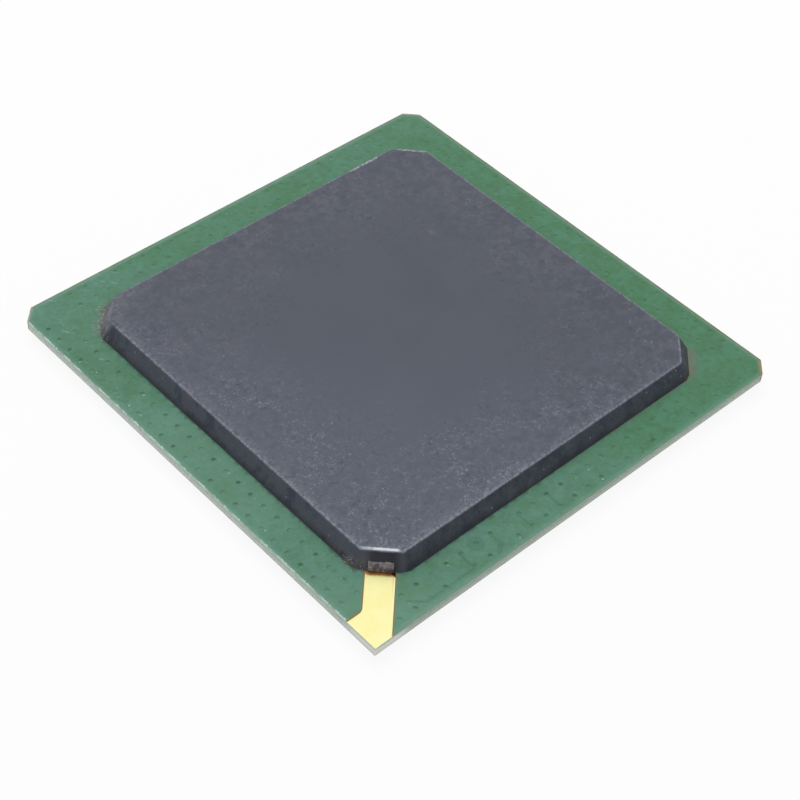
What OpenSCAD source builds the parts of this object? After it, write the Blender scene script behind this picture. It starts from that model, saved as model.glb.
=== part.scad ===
// Over-moulded ball grid array package.
// Origin: centre of the seating plane that the solder balls stand on, +Z up.
// The terminal A1 corner, with its mould gate, is at -X -Y.

/* [Substrate] */
// Width and depth of the square substrate
board_w = 29; // [28:0.1:33]
// Thickness of the glass-fibre laminate
laminate_t = 0.5; // [0.3:0.02:0.8]
// Leg of the 45 degree cut on the three corners away from A1
board_cut = 0.75; // [0.4:0.05:1.0]
// Thickness of the copper on each face
copper_t = 0.02; // [0.015:0.005:0.035]
// Thickness of the solder mask over the copper
mask_t = 0.03; // [0.02:0.005:0.05]

/* [Moulded cap] */
// Width of the cap where it meets the solder mask
cap_w = 24.36; // [23.4:0.02:25]
// Height of the cap above the solder mask
cap_h = 0.9; // [0.8:0.02:1.3]
// Lean of every cap side from the vertical, in degrees
cap_draft = 32.6; // [20:0.2:38]
// Leg of the corner cut at the foot of the cap
cap_cut = 1.8; // [1.2:0.1:2.6]
// Radius along the upper edges of the cap
cap_edge_r = 0.08; // [0.04:0.01:0.15]
// How far the cap's upright corner edges are eased back at its foot
cap_ease = 0.1; // [0.08:0.01:0.15]

/* [Mould gate] */
// Width of the gold runner along the corner diagonal
gate_w = 1.49; // [1:0.01:1.9]
// How far the runner's foot reaches along the left edge from the A1 corner
gate_foot = 2.02; // [1.7:0.02:2.4]
// Radius between the foot and the runner
gate_fillet_r = 0.5; // [0.2:0.05:0.7]
// How far the runner goes on under the cap
gate_under_cap = 0.6; // [0.3:0.1:1]
// How far the solder mask laps over the edges of the runner
gate_lap = 0.07; // [0.03:0.01:0.12]
// Height of the broken stub that the runner leaves on the cap
stub_h = 0.42; // [0.32:0.02:0.5]
// Height of the stub's upright face
stub_face_h = 0.26; // [0.1:0.02:0.3]
// How far the stub's foot stands out from the cap
stub_out = 0.03; // [0.02:0.01:0.2]
// Room between the stub and each side of the mask opening
stub_side = 0.12; // [0.05:0.01:0.3]

/* [Ball grid] */
// Distance between neighbouring balls
ball_pitch = 1; // [0.9:0.05:1.3]
// Diameter of a ball before it is cut by its pad
ball_d = 0.6; // [0.54:0.01:0.7]
// Diameter of the mask opening over each ball pad
pad_opening_d = 0.45; // [0.38:0.01:0.48]
// Smallest distance from the outer ball centres to the substrate's edge
ball_edge = 0.95; // [0.9:0.05:1.5]
// Rows of balls round the rim of the grid
ball_rows = 4; // [3:1:5]
// Balls along each side of the thermal group in the middle
thermal_side = 6; // [2:2:8]
// Ring of pad copper that the mask laps over
pad_lap = 0.03; // [0.02:0.005:0.04]

/* [Vias] */
// Diameter of the drilled hole of a via
via_d = 0.2; // [0.15:0.01:0.25]
// Wall of the plated copper barrel
via_wall = 0.025; // [0.02:0.005:0.035]
// Diameter of the copper land round a via
via_land_d = 0.3; // [0.28:0.01:0.34]
// Width of the copper between a ball pad and its via
neck_w = 0.14; // [0.1:0.01:0.2]
// Diameter of the dimple in the mask over a via outside the cap
dimple_d = 0.3; // [0.2:0.01:0.36]
// Depth of that dimple
dimple_depth = 0.018; // [0.01:0.001:0.018]

/* [Die and leads] */
// Width and depth of the silicon die
die_w = 8.4; // [7:0.1:9.6]
// Thickness of the die
die_t = 0.3; // [0.2:0.01:0.4]
// Thickness of the adhesive under the die
attach_t = 0.03; // [0.02:0.005:0.05]
// How far the adhesive stands out round the die
attach_out = 0.12; // [0.05:0.01:0.2]
// How far the copper paddle stands out round the adhesive
paddle_out = 0.18; // [0.1:0.02:0.4]
// Distance from the die's edge to the centres of its wire bonds
bond_inset = 0.1; // [0.08:0.01:0.2]
// Distance between neighbouring wire bonds on the die
bond_pitch = 0.28; // [0.24:0.01:0.36]
// Width of the ground ring and of the power ring
ring_w = 0.3; // [0.2:0.02:0.4]
// Gap between paddle, rings and bond fingers
ring_gap = 0.2; // [0.15:0.01:0.3]
// Length of the bare end of a bond finger
finger_l = 0.8; // [0.5:0.05:1.1]
// Width of a bond finger
finger_w = 0.16; // [0.12:0.01:0.2]
// Distance between neighbouring bond fingers
finger_pitch = 0.42; // [0.36:0.01:0.44]
// Width of a signal trace
trace_w = 0.1; // [0.08:0.01:0.12]
// Diameter of a bond wire
wire_d = 0.026; // [0.02:0.001:0.032]
// Height of a signal wire's loop above the die
loop_h = 0.2; // [0.14:0.01:0.24]
// Height of a ground or power wire's loop above the die
short_loop_h = 0.1; // [0.08:0.01:0.12]
// Diameter of the ball bond on the die and of the stitch on the lead
bond_d = 0.08; // [0.06:0.005:0.1]

/* [Hidden] */
$fn = 48;

// Sides in turn, each a quarter turn from the one before: +X, +Y, -X, -Y
RIGHT = 0;
BACK = 1;
LEFT = 2;
FRONT = 3;
SIDES = [RIGHT, BACK, LEFT, FRONT];

// Overshoot of a cutting tool past the face it opens
eps = 0.1;

// Levels, from the seating plane up. A reflowed ball is a sphere cut by its pad opening.
ball_r = ball_d / 2;
opening_r = pad_opening_d / 2;
mask_z = ball_r + sqrt(pow(ball_r, 2) - pow(opening_r, 2));
pad_z = mask_z + mask_t;
laminate_z = pad_z + copper_t;
lead_z = laminate_z + laminate_t;
lead_top = lead_z + copper_t;
cap_z = lead_top + mask_t;
cap_top = cap_z + cap_h;
die_z = lead_top + attach_t;
die_top = die_z + die_t;

half_w = board_w / 2;
pad_r = opening_r + pad_lap;
land_r = via_land_d / 2;
copper_gap = 0.05;

// Ball grid: the rows that fit the board, counted inwards from the outer row, row 0
grid_n = floor((board_w - 2 * ball_edge) / ball_pitch) + 1;
via_out = ball_pitch / 2;
first_u = grid_n % 2 == 0 ? 0.5 : 1;
thermal_w = thermal_side * ball_pitch;
function row_r(row) = ((grid_n - 1) / 2 - row) * ball_pitch;
function turned(p, side) =
    side == RIGHT ? p : side == BACK ? [-p.y, p.x] : side == LEFT ? [-p.x, -p.y] : [p.y, -p.x];

// Places along one row on all four sides, moved out from the balls by "out";
// the third number is the place's distance along its side from the side's middle.
// The four corner balls are left out.
function row_places(row, out) = [
    for (side = SIDES, m = [1 : grid_n - 1 - 2 * row])
        let (u = m * ball_pitch - row_r(row), p = turned([row_r(row) + out, u], side))
            if (row > 0 || m < grid_n - 1) [p.x, p.y, u]];
function thermal_places(n) = [
    for (i = [0 : n - 1], j = [0 : n - 1]) [i - (n - 1) / 2, j - (n - 1) / 2] * ball_pitch];

// Mould gate: distances along the corner diagonal from the package's centre
cap_foot_d = (cap_w - cap_cut) / sqrt(2);
// Distance of the eased edges, whose faces stand halfway between the cap's sides and its corner cuts
cap_ease_d = cap_w / 2 * cos(22.5) + (cap_w / 2 - cap_cut) * sin(22.5) - cap_ease;
gate_end_d = cap_foot_d - gate_under_cap;
corner_d = half_w * sqrt(2);

// A via keeps clear of the runner and its foot
function clear_of_gate(p) =
    let (along = -(p.x + p.y) / sqrt(2), across = abs(p.x - p.y) / sqrt(2),
         room = gate_lap + land_r + copper_gap)
        !(along > gate_end_d - room && across < gate_w / 2 + room)
        && !(p.x < p.y && p.y < -half_w + gate_foot + room);
function row_vias(row) = [for (p = row_places(row, via_out)) if (clear_of_gate(p)) p];

// Rings round the die, each given by its half width
attach_r = die_w / 2 + attach_out;
paddle_r = attach_r + paddle_out;
ground_r = paddle_r + ring_gap;
power_r = ground_r + ring_w + ring_gap;
finger_r = power_r + ring_w + ring_gap;
window_r = finger_r + finger_l;
bond_r = die_w / 2 - bond_inset;
bond_h = wire_d * 1.2;

// Signal leads on each half side, as many as the die, the fingers and the via rows take.
// They end by turns at the innermost via row and at the next one out.
near_row = ball_rows - 1;
far_row = ball_rows - 2;
lead_n = floor(min(bond_r / bond_pitch, (finger_r - finger_w) / finger_pitch,
                   2 * (row_r(near_row) / ball_pitch - first_u)));
function via_u(j) = (j + first_u) * ball_pitch;
function takes_lead(row, u) =
    let (j = round(abs(u) / ball_pitch - first_u))
        (row == near_row && j >= 0 && 2 * j < lead_n) || (row == far_row && j >= 1 && 2 * j <= lead_n);

// Ground and power leads stand between the signal leads
short_leads = [for (i = [1 : lead_n - 2]) if (i % 3 == 1) i];

// Apex of the circular loop that rises "rise" above its start and ends "drop" below it,
// "span" away: its distance from the start
function loop_x(span, drop, rise) =
    let (p = drop / (rise * (drop + rise)), q = 2 * span / (drop + rise),
         s = pow(span, 2) / (drop + rise) + drop)
        (sqrt(q * q + 4 * p * s) - q) / (2 * p);

// Unit vector a quarter turn to the left of v
function unit_left(v) = [-v.y, v.x] / norm(v);

// ---------- outlines ----------

module board_outline() {
    polygon([
        [-half_w, -half_w],
        [half_w - board_cut, -half_w], [half_w, -half_w + board_cut],
        [half_w, half_w - board_cut], [half_w - board_cut, half_w],
        [-half_w + board_cut, half_w], [-half_w, half_w - board_cut]]);
}

module square_ring(inner_r, w) {
    difference() {
        square(2 * (inner_r + w), center = true);
        square(2 * inner_r, center = true);
    }
}

module strip(from, to, w) {
    along = to - from;
    translate(from) rotate(atan2(along.y, along.x)) translate([0, -w / 2]) square([norm(along), w]);
}

// A strip with one corner
module mitred_strip(from, corner, to, w) {
    side_a = unit_left(corner - from) * w / 2;
    side_b = unit_left(to - corner) * w / 2;
    mitre = (side_a + side_b) / (1 + side_a * side_b / pow(w / 2, 2));
    polygon([from - side_a, corner - mitre, to - side_b, to + side_b, corner + mitre, from + side_a]);
}

// Runner from under the cap down the corner diagonal, with a foot along the left edge.
// "lap" widens it all round where the solder mask covers it.
module gate_outline(lap) {
    across = (gate_w / 2 + lap) * sqrt(2);
    foot = gate_foot + lap;
    run = corner_d - gate_end_d + lap;
    end = [run, run] / sqrt(2);
    side = [across, -across] / 2;
    bend = [foot - across, foot];
    r = gate_fillet_r - lap;
    reach = r * tan(22.5);
    centre = bend + r / cos(22.5) * [cos(112.5), sin(112.5)];
    translate([-half_w, -half_w]) difference() {
        polygon([
            [0, 0], [across, 0], end + side, end - side,
            bend + [reach, reach] / sqrt(2), centre, bend - [reach, 0], [0, foot]]);
        translate(centre) circle(r);
    }
}

// Ball pad, its via land and the neck between them
module pad_outline(p, row) {
    side_r = row_r(row);
    out = abs(p.x) > abs(p.y) ? [sign(p.x), 0] : abs(p.y) > abs(p.x) ? [0, sign(p.y)]
        : p.x * p.y > 0 ? [sign(p.x), 0] : [0, sign(p.y)];
    via = [p.x, p.y] + out * via_out;
    translate([p.x, p.y]) circle(pad_r);
    if (clear_of_gate(via)) {
        translate(via) circle(land_r);
        strip([p.x, p.y], via, neck_w);
    }
}

// One signal lead: finger, trace and via land, on the +X side
module lead_outline(i, half) {
    start = [finger_r, half * (i + 0.5) * finger_pitch];
    bend = [window_r, start.y];
    j = floor(i / 2);
    near = [row_r(near_row) + via_out, half * via_u(j)];
    lane = near + [0, half * ball_pitch / 2];
    far = [row_r(far_row) + via_out, half * via_u(j + 1)];
    strip(start, bend, finger_w);
    if (i % 2 == 0) {
        strip(bend - [trace_w, 0], near, trace_w);
        translate(near) circle(land_r);
    } else {
        mitred_strip(bend - [trace_w, 0], lane, far, trace_w);
        translate(far) circle(land_r);
    }
}

module leads_outline() {
    for (half = [-1, 1], i = [0 : lead_n - 1]) lead_outline(i, half);
}

// Side view of the cap between its foot half widths, with rounded upper edges
module cap_profile(foot_r) {
    lean = cap_h * tan(cap_draft);
    reach = cap_edge_r * tan((90 - cap_draft) / 2);
    edge = foot_r - lean;
    for (half = [-1, 1]) translate([half * (edge - reach), cap_h - cap_edge_r]) circle(cap_edge_r);
    polygon([
        [-foot_r, 0], [foot_r, 0],
        [edge + reach * sin(cap_draft), cap_h - reach * cos(cap_draft)], [edge - reach, cap_h],
        [reach - edge, cap_h], [-edge - reach * sin(cap_draft), cap_h - reach * cos(cap_draft)]]);
}

// ---------- substrate ----------

module laminate() {
    color([0.72, 0.74, 0.62]) translate([0, 0, laminate_z]) difference() {
        linear_extrude(laminate_t) board_outline();
        for (row = [0 : ball_rows - 1], p = row_vias(row)) via_hole(p);
        for (p = thermal_places(thermal_side - 1)) via_hole(p);
    }
}

module via_hole(p) {
    translate([p.x, p.y, -eps]) cylinder(d = via_d, h = laminate_t + 2 * eps);
}

module barrel(p) {
    translate([p.x, p.y, laminate_z])
        rotate_extrude() translate([via_d / 2 - via_wall, 0]) square([via_wall, laminate_t]);
}

module via_barrels() {
    color([0.85, 0.5, 0.3]) for (row = [0 : ball_rows - 1], p = row_vias(row)) barrel(p);
}

module thermal_vias() {
    color([0.85, 0.5, 0.3]) for (p = thermal_places(thermal_side - 1)) barrel(p);
}

module solder_mask_top() {
    color([0.36, 0.52, 0.43]) translate([0, 0, lead_z]) difference() {
        linear_extrude(copper_t + mask_t) board_outline();
        translate([-window_r, -window_r, -eps]) cube([2 * window_r, 2 * window_r, 1]);
        translate([0, 0, -eps]) linear_extrude(1) gate_outline(0);
        translate([0, 0, -eps]) linear_extrude(copper_t + eps) {
            gate_outline(gate_lap);
            for (side = SIDES) rotate(90 * side) leads_outline();
        }
        for (row = [0 : ball_rows - 1], p = row_vias(row)) {
            if (!takes_lead(row, p.z)) translate([p.x, p.y, -eps]) cylinder(r = land_r, h = copper_t + eps);
            if (max(abs(p.x), abs(p.y)) > cap_w / 2 + dimple_d) dimple(p);
        }
    }
}

// Shallow spherical hollow where the mask sank over a via
module dimple(p) {
    r = (pow(dimple_d / 2, 2) + pow(dimple_depth, 2)) / (2 * dimple_depth);
    translate([p.x, p.y, copper_t + mask_t - dimple_depth + r]) sphere(r);
}

module solder_mask_bottom() {
    color([0.34, 0.5, 0.41]) translate([0, 0, mask_z]) difference() {
        linear_extrude(mask_t + copper_t) board_outline();
        for (row = [0 : ball_rows - 1], p = row_places(row, 0))
            translate([p.x, p.y, -eps]) cylinder(r = opening_r, h = mask_t + 2 * eps);
        for (p = thermal_places(thermal_side))
            translate([p.x, p.y, -eps]) cylinder(r = opening_r, h = mask_t + 2 * eps);
        translate([0, 0, mask_t]) linear_extrude(copper_t + eps) {
            for (row = [0 : ball_rows - 1], p = row_places(row, 0)) pad_outline(p, row);
            square(thermal_w, center = true);
        }
    }
}

// ---------- ball pads and balls ----------

module pads(rows) {
    color([0.85, 0.5, 0.3]) translate([0, 0, pad_z]) linear_extrude(copper_t)
        for (row = rows, p = row_places(row, 0)) pad_outline(p, row);
}

module outer_pads() {
    pads([0]);
}

module inner_pads() {
    pads([1 : ball_rows - 1]);
}

module thermal_pad() {
    color([0.85, 0.5, 0.3]) translate([-thermal_w / 2, -thermal_w / 2, pad_z])
        cube([thermal_w, thermal_w, copper_t]);
}

// A ball that stands on the seating plane and fills its mask opening up to the pad
module ball(p) {
    translate([p.x, p.y, 0]) {
        difference() {
            translate([0, 0, ball_r]) sphere(ball_r);
            translate([-ball_d, -ball_d, mask_z]) cube([2 * ball_d, 2 * ball_d, ball_d]);
        }
        translate([0, 0, mask_z]) cylinder(r = opening_r, h = mask_t);
    }
}

module balls(rows) {
    color([0.75, 0.76, 0.78]) for (row = rows, p = row_places(row, 0)) ball(p);
}

module outer_balls() {
    balls([0]);
}

module middle_balls() {
    balls([1 : ball_rows - 2]);
}

module inner_balls() {
    balls([ball_rows - 1]);
}

module thermal_balls() {
    color([0.75, 0.76, 0.78]) for (p = thermal_places(thermal_side)) ball(p);
}

// ---------- copper under the cap ----------

module via_lands() {
    color([0.85, 0.5, 0.3]) for (row = [0 : ball_rows - 1], p = row_vias(row))
        if (!takes_lead(row, p.z)) translate([p.x, p.y, lead_z]) cylinder(r = land_r, h = copper_t);
}

module traces(side) {
    color([0.93, 0.75, 0.35]) translate([0, 0, lead_z]) rotate(90 * side)
        linear_extrude(copper_t) leads_outline();
}

module traces_right() {
    traces(RIGHT);
}

module traces_back() {
    traces(BACK);
}

module traces_left() {
    traces(LEFT);
}

module traces_front() {
    traces(FRONT);
}

module die_paddle() {
    color([0.93, 0.75, 0.35]) translate([-paddle_r, -paddle_r, lead_z])
        cube([2 * paddle_r, 2 * paddle_r, copper_t]);
}

module ground_ring() {
    color([0.93, 0.75, 0.35]) translate([0, 0, lead_z])
        linear_extrude(copper_t) square_ring(ground_r, ring_w);
}

module power_ring() {
    color([0.93, 0.75, 0.35]) translate([0, 0, lead_z])
        linear_extrude(copper_t) square_ring(power_r, ring_w);
}

// ---------- die and bond wires ----------

module die_attach() {
    color([0.7, 0.7, 0.68]) translate([-attach_r, -attach_r, lead_top])
        cube([2 * attach_r, 2 * attach_r, attach_t]);
}

module die() {
    color([0.3, 0.32, 0.36]) translate([-die_w / 2, -die_w / 2, die_z]) cube([die_w, die_w, die_t]);
}

// One round wire on the +X side: ball bond on the die, circular loop, stitch on the copper
module wire(from, to, rise) {
    span = norm(to - from);
    drop = die_top - lead_top;
    x = loop_x(span, drop, rise);
    r = (pow(x, 2) + pow(rise, 2)) / (2 * rise);
    down = r - rise;
    toe = atan2(down - drop, span - x);
    heel = atan2(down, -x);
    translate([from.x, from.y, die_top]) rotate(atan2(to.y - from.y, to.x - from.x)) {
        translate([x, 0, bond_h / 2 - down]) rotate([90, 0, 0]) rotate(toe)
            rotate_extrude(angle = heel - toe) translate([r, 0]) circle(d = wire_d, $fn = 24);
        cylinder(d = bond_d, h = bond_h, $fn = 24);
        translate([span, 0, -drop]) cylinder(d = bond_d, h = bond_h, $fn = 24);
    }
}

module signal_wires(side) {
    color([0.98, 0.8, 0.25]) rotate(90 * side) for (half = [-1, 1], i = [0 : lead_n - 1]) {
        u = half * (i + 0.5);
        wire([bond_r, u * bond_pitch], [finger_r + finger_l / 2, u * finger_pitch], loop_h);
    }
}

module wires_right() {
    signal_wires(RIGHT);
}

module wires_back() {
    signal_wires(BACK);
}

module wires_left() {
    signal_wires(LEFT);
}

module wires_front() {
    signal_wires(FRONT);
}

// A wire between two signal wires, from the die to a ring, in line with its neighbours
module short_wires(ring_r, half) {
    share = (ring_r + ring_w / 2 - bond_r) / (finger_r + finger_l / 2 - bond_r);
    color([0.98, 0.8, 0.25]) for (side = SIDES, i = short_leads) rotate(90 * side) {
        from = [bond_r, half * i * bond_pitch];
        to = [finger_r + finger_l / 2, half * i * finger_pitch];
        wire(from, from + share * (to - from), short_loop_h);
    }
}

module ground_wires() {
    short_wires(ground_r, -1);
}

module power_wires() {
    short_wires(power_r, 1);
}

// ---------- mould gate and cap ----------

module mould_gate() {
    color([0.98, 0.93, 0.6]) translate([0, 0, lead_z]) linear_extrude(copper_t) gate_outline(gate_lap);
}

module cap_bar(foot_r) {
    translate([0, 0, cap_z]) rotate([90, 0, 0])
        linear_extrude(2 * cap_w, center = true) cap_profile(foot_r);
}

// Bar whose two leaning faces ease the cap's upright edges, taller than the cap at both ends
module ease_bar() {
    past = 0.2;
    foot = cap_ease_d + past * tan(cap_draft);
    head = cap_ease_d - (cap_h + past) * tan(cap_draft);
    translate([0, 0, cap_z]) rotate([90, 0, 0]) linear_extrude(2 * cap_w, center = true)
        polygon([[-foot, -past], [foot, -past], [head, cap_h + past], [-head, cap_h + past]]);
}

// Compound that fills the mask opening over the gate, under the cap
module gate_filling() {
    rotate([90, 0, 225]) linear_extrude(gate_w, center = true) polygon([
        [gate_end_d, lead_top], [cap_foot_d, lead_top], [cap_foot_d, cap_z], [gate_end_d, cap_z]]);
}

// Stub left where the runner of mould compound was snapped off the cap
module gate_stub() {
    front = cap_foot_d + stub_out;
    back = cap_foot_d - stub_h * tan(cap_draft);
    rotate([90, 0, 225]) linear_extrude(gate_w - 2 * stub_side, center = true) polygon([
        [back - stub_h, lead_top], [front, lead_top], [front, cap_z + stub_face_h],
        [back, cap_z + stub_h], [back - stub_h, cap_z + stub_h]]);
}

module mould_cap() {
    color([0.28, 0.29, 0.33]) difference() {
        union() {
            intersection() {
                cap_bar(cap_w / 2);
                rotate(90) cap_bar(cap_w / 2);
                rotate(45) cap_bar(cap_foot_d);
                rotate(-45) cap_bar(cap_foot_d);
                rotate(22.5) ease_bar();
                rotate(67.5) ease_bar();
                rotate(-22.5) ease_bar();
                rotate(-67.5) ease_bar();
            }
            translate([-window_r, -window_r, lead_z]) cube([2 * window_r, 2 * window_r, copper_t + mask_t]);
            gate_filling();
            gate_stub();
        }
        die_paddle();
        ground_ring();
        power_ring();
        for (side = SIDES, half = [-1, 1], i = [0 : lead_n - 1]) rotate(90 * side)
            translate([finger_r, half * (i + 0.5) * finger_pitch - finger_w / 2, lead_z - eps])
                cube([finger_l + eps, finger_w, copper_t + eps]);
        die_attach();
        die();
        for (side = SIDES) signal_wires(side);
        ground_wires();
        power_wires();
    }
}

laminate();
via_barrels();
thermal_vias();
solder_mask_top();
solder_mask_bottom();
outer_pads();
inner_pads();
thermal_pad();
outer_balls();
middle_balls();
inner_balls();
thermal_balls();
via_lands();
traces_right();
traces_back();
traces_left();
traces_front();
die_paddle();
ground_ring();
power_ring();
die_attach();
die();
wires_right();
wires_back();
wires_left();
wires_front();
ground_wires();
power_wires();
mould_gate();
mould_cap();
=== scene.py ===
"""Looks of a square over-moulded ball grid array package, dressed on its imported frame.

Lengths of the scene are in metres. Patterns are laid out in millimetres.
"""

import math

import bmesh
import bpy
from mathutils import Matrix, Vector, noise


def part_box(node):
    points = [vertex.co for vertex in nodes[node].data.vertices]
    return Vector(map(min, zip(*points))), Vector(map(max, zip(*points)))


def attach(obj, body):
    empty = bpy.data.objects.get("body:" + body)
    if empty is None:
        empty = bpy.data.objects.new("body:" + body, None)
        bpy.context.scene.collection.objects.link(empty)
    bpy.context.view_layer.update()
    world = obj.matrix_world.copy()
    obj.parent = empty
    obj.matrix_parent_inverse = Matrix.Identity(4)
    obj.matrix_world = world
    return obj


MM = 0.001
ROOT2 = math.sqrt(2)

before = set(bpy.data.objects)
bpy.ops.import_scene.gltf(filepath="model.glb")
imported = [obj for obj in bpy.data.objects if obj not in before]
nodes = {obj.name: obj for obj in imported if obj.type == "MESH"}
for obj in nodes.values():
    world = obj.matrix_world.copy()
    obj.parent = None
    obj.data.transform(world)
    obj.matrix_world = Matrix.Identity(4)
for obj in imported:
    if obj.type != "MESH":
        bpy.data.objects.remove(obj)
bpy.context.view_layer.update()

# Sizes that the patterns follow, in millimetres
BOARD_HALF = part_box("laminate")[1].x / MM
BOARD_CUT = 0.75
BOARD_DIAGONAL = (2 * BOARD_HALF - BOARD_CUT) / ROOT2
BOARD_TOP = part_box("solder_mask_top")[1].z / MM
LAMINATE_LOW, LAMINATE_HIGH = (corner.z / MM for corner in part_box("laminate"))
CAP_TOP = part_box("mould_cap")[1].z / MM
CAP_LEAN = 0.576
CAP_SLOPE = CAP_LEAN / (CAP_TOP - BOARD_TOP)
CAP_CUT = 1.8
CAP_FOOT_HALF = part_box("mould_cap")[1].x / MM
CAP_FOOT_DIAGONAL = (2 * CAP_FOOT_HALF - CAP_CUT) / ROOT2
CAP_TOP_HALF = CAP_FOOT_HALF - CAP_LEAN
CAP_TOP_DIAGONAL = CAP_FOOT_DIAGONAL - CAP_LEAN
GATE_HALF = 0.745
GATE_FOOT = 2.02
GATE_FOOT_Y = GATE_FOOT - BOARD_HALF
GOLD_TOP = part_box("mould_gate")[1].z / MM
STUB_INSET = 0.12
STUB_HALF = GATE_HALF - STUB_INSET
STUB_PROUD = 0.03
LIP_HEIGHT = 0.26
STUB_LIP = BOARD_TOP + LIP_HEIGHT
STUB_HEIGHT = 0.42
STUB_TOP = BOARD_TOP + STUB_HEIGHT

# Where the balls' rows begin and end, and the inner of the two rows of vias beside the cap
BALLS_FROM, BALLS_TO = 10, 14
VIA_ROW = 13
THERMAL_HALF = 3.0
PAD_R = 0.255
LAND_R = 0.15
VIA_MARK_R = 0.115

# Copper that shows faintly on the front rim: a test pad, and runs with their half widths
RIM_PAD = (-6.5, -13.0)
RIM_TRACES = (
    ((-11.5, -13.4), (-10.8, -14.05), 0.05),
    ((-10.8, -14.05), (-7.5, -14.05), 0.05),
    ((-7.6, -13.0), (-7.6, -14.0), 0.06),
    ((-5.55, -13.0), (-5.5, -13.75), 0.06),
    ((-5.5, -13.75), (-5.95, -14.1), 0.14),
    ((-3.57, -13.0), (-3.57, -14.0), 0.05),
    ((-1.5, -13.0), (-1.5, -14.0), 0.05),
)


# ---------- shader maths ----------

def tone(red, green, blue):
    """A display colour as the linear colour that shaders take."""
    return tuple(
        c / 12.92 if c <= 0.04045 else ((c + 0.055) / 1.055) ** 2.4
        for c in (red / 255, green / 255, blue / 255)
    ) + (1.0,)


class Flow:
    """A number that varies over a surface, ready for Python's operators."""

    def __init__(self, finish, socket):
        self.finish = finish
        self.socket = socket

    def math(self, operation, *others):
        return self.finish.number(operation, self, *others)

    def __add__(self, other):
        return self.math("ADD", other)

    __radd__ = __add__

    def __sub__(self, other):
        return self.math("SUBTRACT", other)

    def __rsub__(self, other):
        return self.finish.number("SUBTRACT", other, self)

    def __mul__(self, other):
        return self.math("MULTIPLY", other)

    __rmul__ = __mul__

    def __truediv__(self, other):
        return self.math("DIVIDE", other)

    def __abs__(self):
        return self.math("ABSOLUTE")

    def __lt__(self, other):
        return self.math("LESS_THAN", other)

    def __gt__(self, other):
        return self.math("GREATER_THAN", other)

    def least(self, other):
        return self.math("MINIMUM", other)

    def most(self, other):
        return self.math("MAXIMUM", other)

    def floor(self):
        return self.math("FLOOR")

    def fraction(self):
        return self.math("FRACT")

    def root(self):
        return self.math("SQRT")

    def rise(self, low, high):
        """0 below low, 1 above high, smooth between. With low above high it falls instead."""
        return self.finish.add(
            "ShaderNodeMapRange",
            {"interpolation_type": "SMOOTHSTEP"},
            {"Value": self, "From Min": low, "From Max": high},
        )

    def line(self, middle, half):
        """1 on the line where the value is middle, 0 further off than half."""
        return abs(self - middle).rise(half, half * 0.4)


class Finish:
    """One procedural material while it is being wired."""

    def __init__(self, name):
        self.material = bpy.data.materials.new(name)
        self.material.use_nodes = True
        self.tree = self.material.node_tree
        self.tree.nodes.clear()
        place = self.add("ShaderNodeTexCoord", out="Object")
        self.place = self.vector("SCALE", place, Scale=1 / MM)
        self.x, self.y, self.z = (
            self.add("ShaderNodeSeparateXYZ", {}, {0: self.place}, out=axis) for axis in "XYZ"
        )

    def add(self, kind, settings=None, sockets=None, out=0):
        """Adds a node, sets what it does, then its sockets, and returns one output."""
        node = self.tree.nodes.new(kind)
        for name, value in (settings or {}).items():
            setattr(node, name, value)
        for key, value in (sockets or {}).items():
            if isinstance(value, Flow):
                self.tree.links.new(value.socket, node.inputs[key])
            else:
                node.inputs[key].default_value = value
        return Flow(self, node.outputs[out])

    def number(self, operation, *values):
        return self.add("ShaderNodeMath", {"operation": operation}, dict(enumerate(values)))

    def vector(self, operation, *values, **named):
        return self.add(
            "ShaderNodeVectorMath", {"operation": operation}, {**dict(enumerate(values)), **named}
        )

    def mix(self, factor, first, second):
        """Colour from first to second as factor goes from 0 to 1."""
        return self.add(
            "ShaderNodeMix", {"data_type": "RGBA"}, {0: factor, 6: first, 7: second}, out=2
        )

    def noise(self, per_mm, detail=2.0, rough=0.5, shift=0.0, stretch=(1, 1, 1), turn=0.0):
        """Noise of so many features a millimetre, with a mean of about a half."""
        place = self.place
        if turn:
            turned = {"Vector": place, "Angle": turn}
            place = self.add("ShaderNodeVectorRotate", {"rotation_type": "Z_AXIS"}, turned)
        place = self.vector("ADD", place, (shift, shift, shift))
        place = self.vector("MULTIPLY", place, stretch)
        return self.add(
            "ShaderNodeTexNoise",
            {"noise_dimensions": "3D"},
            {"Vector": place, "Scale": per_mm, "Detail": detail, "Roughness": rough},
        )

    def specks(self, per_mm, size, share, shift=0.0):
        """Small round grains, one in some cells of a fine lattice."""
        place = self.vector("ADD", self.place, (shift, shift, shift))
        cell = {"Vector": place, "Scale": per_mm}
        settings = {"voronoi_dimensions": "3D", "feature": "F1"}
        distance = self.add("ShaderNodeTexVoronoi", settings, cell, out="Distance")
        colour = self.add("ShaderNodeTexVoronoi", settings, cell, out="Color")
        pick = self.add("ShaderNodeSeparateColor", {}, {0: colour}, out=0)
        return distance.rise(size, size * 0.4) * (pick > 1 - share)

    def finished(self, bump, **inputs):
        """Ends the material in a Principled surface. Bump heights are in millimetres."""
        shader = self.tree.nodes.new("ShaderNodeBsdfPrincipled")
        output = self.tree.nodes.new("ShaderNodeOutputMaterial")
        for name, value in inputs.items():
            socket = shader.inputs[name.replace("_", " ")]
            if isinstance(value, Flow):
                self.tree.links.new(value.socket, socket)
            else:
                socket.default_value = value
        lifted = self.add("ShaderNodeBump", {}, {"Height": bump, "Distance": MM, "Strength": 1.0})
        self.tree.links.new(lifted.socket, shader.inputs["Normal"])
        self.tree.links.new(shader.outputs[0], output.inputs["Surface"])
        return self.material


# ---------- finishes ----------

def off_centre(x, y):
    """Distance from where both places are 0."""
    return (x * x + y * y).root()


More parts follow.
